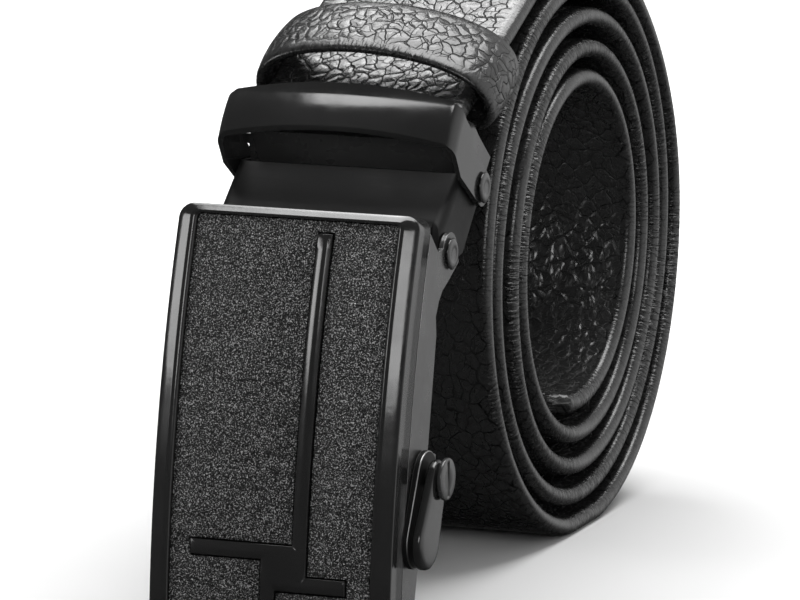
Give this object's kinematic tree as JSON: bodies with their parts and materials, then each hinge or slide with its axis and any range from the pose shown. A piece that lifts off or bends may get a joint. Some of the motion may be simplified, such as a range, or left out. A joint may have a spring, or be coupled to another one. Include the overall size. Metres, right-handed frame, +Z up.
{
  "type": "ratchet belt",
  "caption": "Black leather ratchet belt, rolled up and stood on edge, its automatic buckle hanging in front from a hinged clamp, with keeper loop and release lever.",
  "frame": {"origin": "under the middle of the belt's box, on the surface that it stands on", "axes": "+X along the strap's width, towards the release lever; +Y from the buckle's face to the back of the roll; +Z up"},
  "size_m": [0.0454, 0.1476, 0.0986],
  "materials": {
    "leather": "black pebbled leather, semi-gloss, wrinkled at its turned edges",
    "track": "plain black moulded plastic",
    "black_metal": "polished black plating",
    "satin_metal": "satin black plating, brighter along its edges",
    "blasted_metal": "sandblasted dark grey with a fine sparkle"
  },
  "bodies": {
    "belt": {"strap": "leather", "ratchet_track": "track", "keeper_loop": "leather", "clamp_hood": "black_metal", "clamp_jaw": "satin_metal", "clamp_rivet": "satin_metal"},
    "link": {"link_plate": "satin_metal"},
    "buckle": {"buckle_housing": "satin_metal", "face_cover": "black_metal", "face_panel": "blasted_metal", "buckle_rivet": "satin_metal"},
    "lever": {"lever_plate": "satin_metal", "release_lever": "black_metal", "lever_shaft": "satin_metal"}
  },
  "joints": [
    {"name": "link_hinge", "type": "hinge", "parent": "belt", "child": "link", "pos_m": [-0.00185, -0.03233, 0.06679], "axis": [-1, 0, 0], "range_deg": [0, 15]},
    {"name": "buckle_hinge", "type": "hinge", "parent": "link", "child": "buckle", "pos_m": [-0.00185, -0.04654, 0.05859], "axis": [-1, 0, 0], "range_deg": [0, 45]},
    {"name": "lever_hinge", "type": "hinge", "parent": "buckle", "child": "lever", "pos_m": [0.01895, -0.06031, 0.02579], "axis": [1, 0, 0], "range_deg": [0, 25], "stiffness_Nm_per_rad": 0.01, "springref_deg": -28.65}
  ]
}
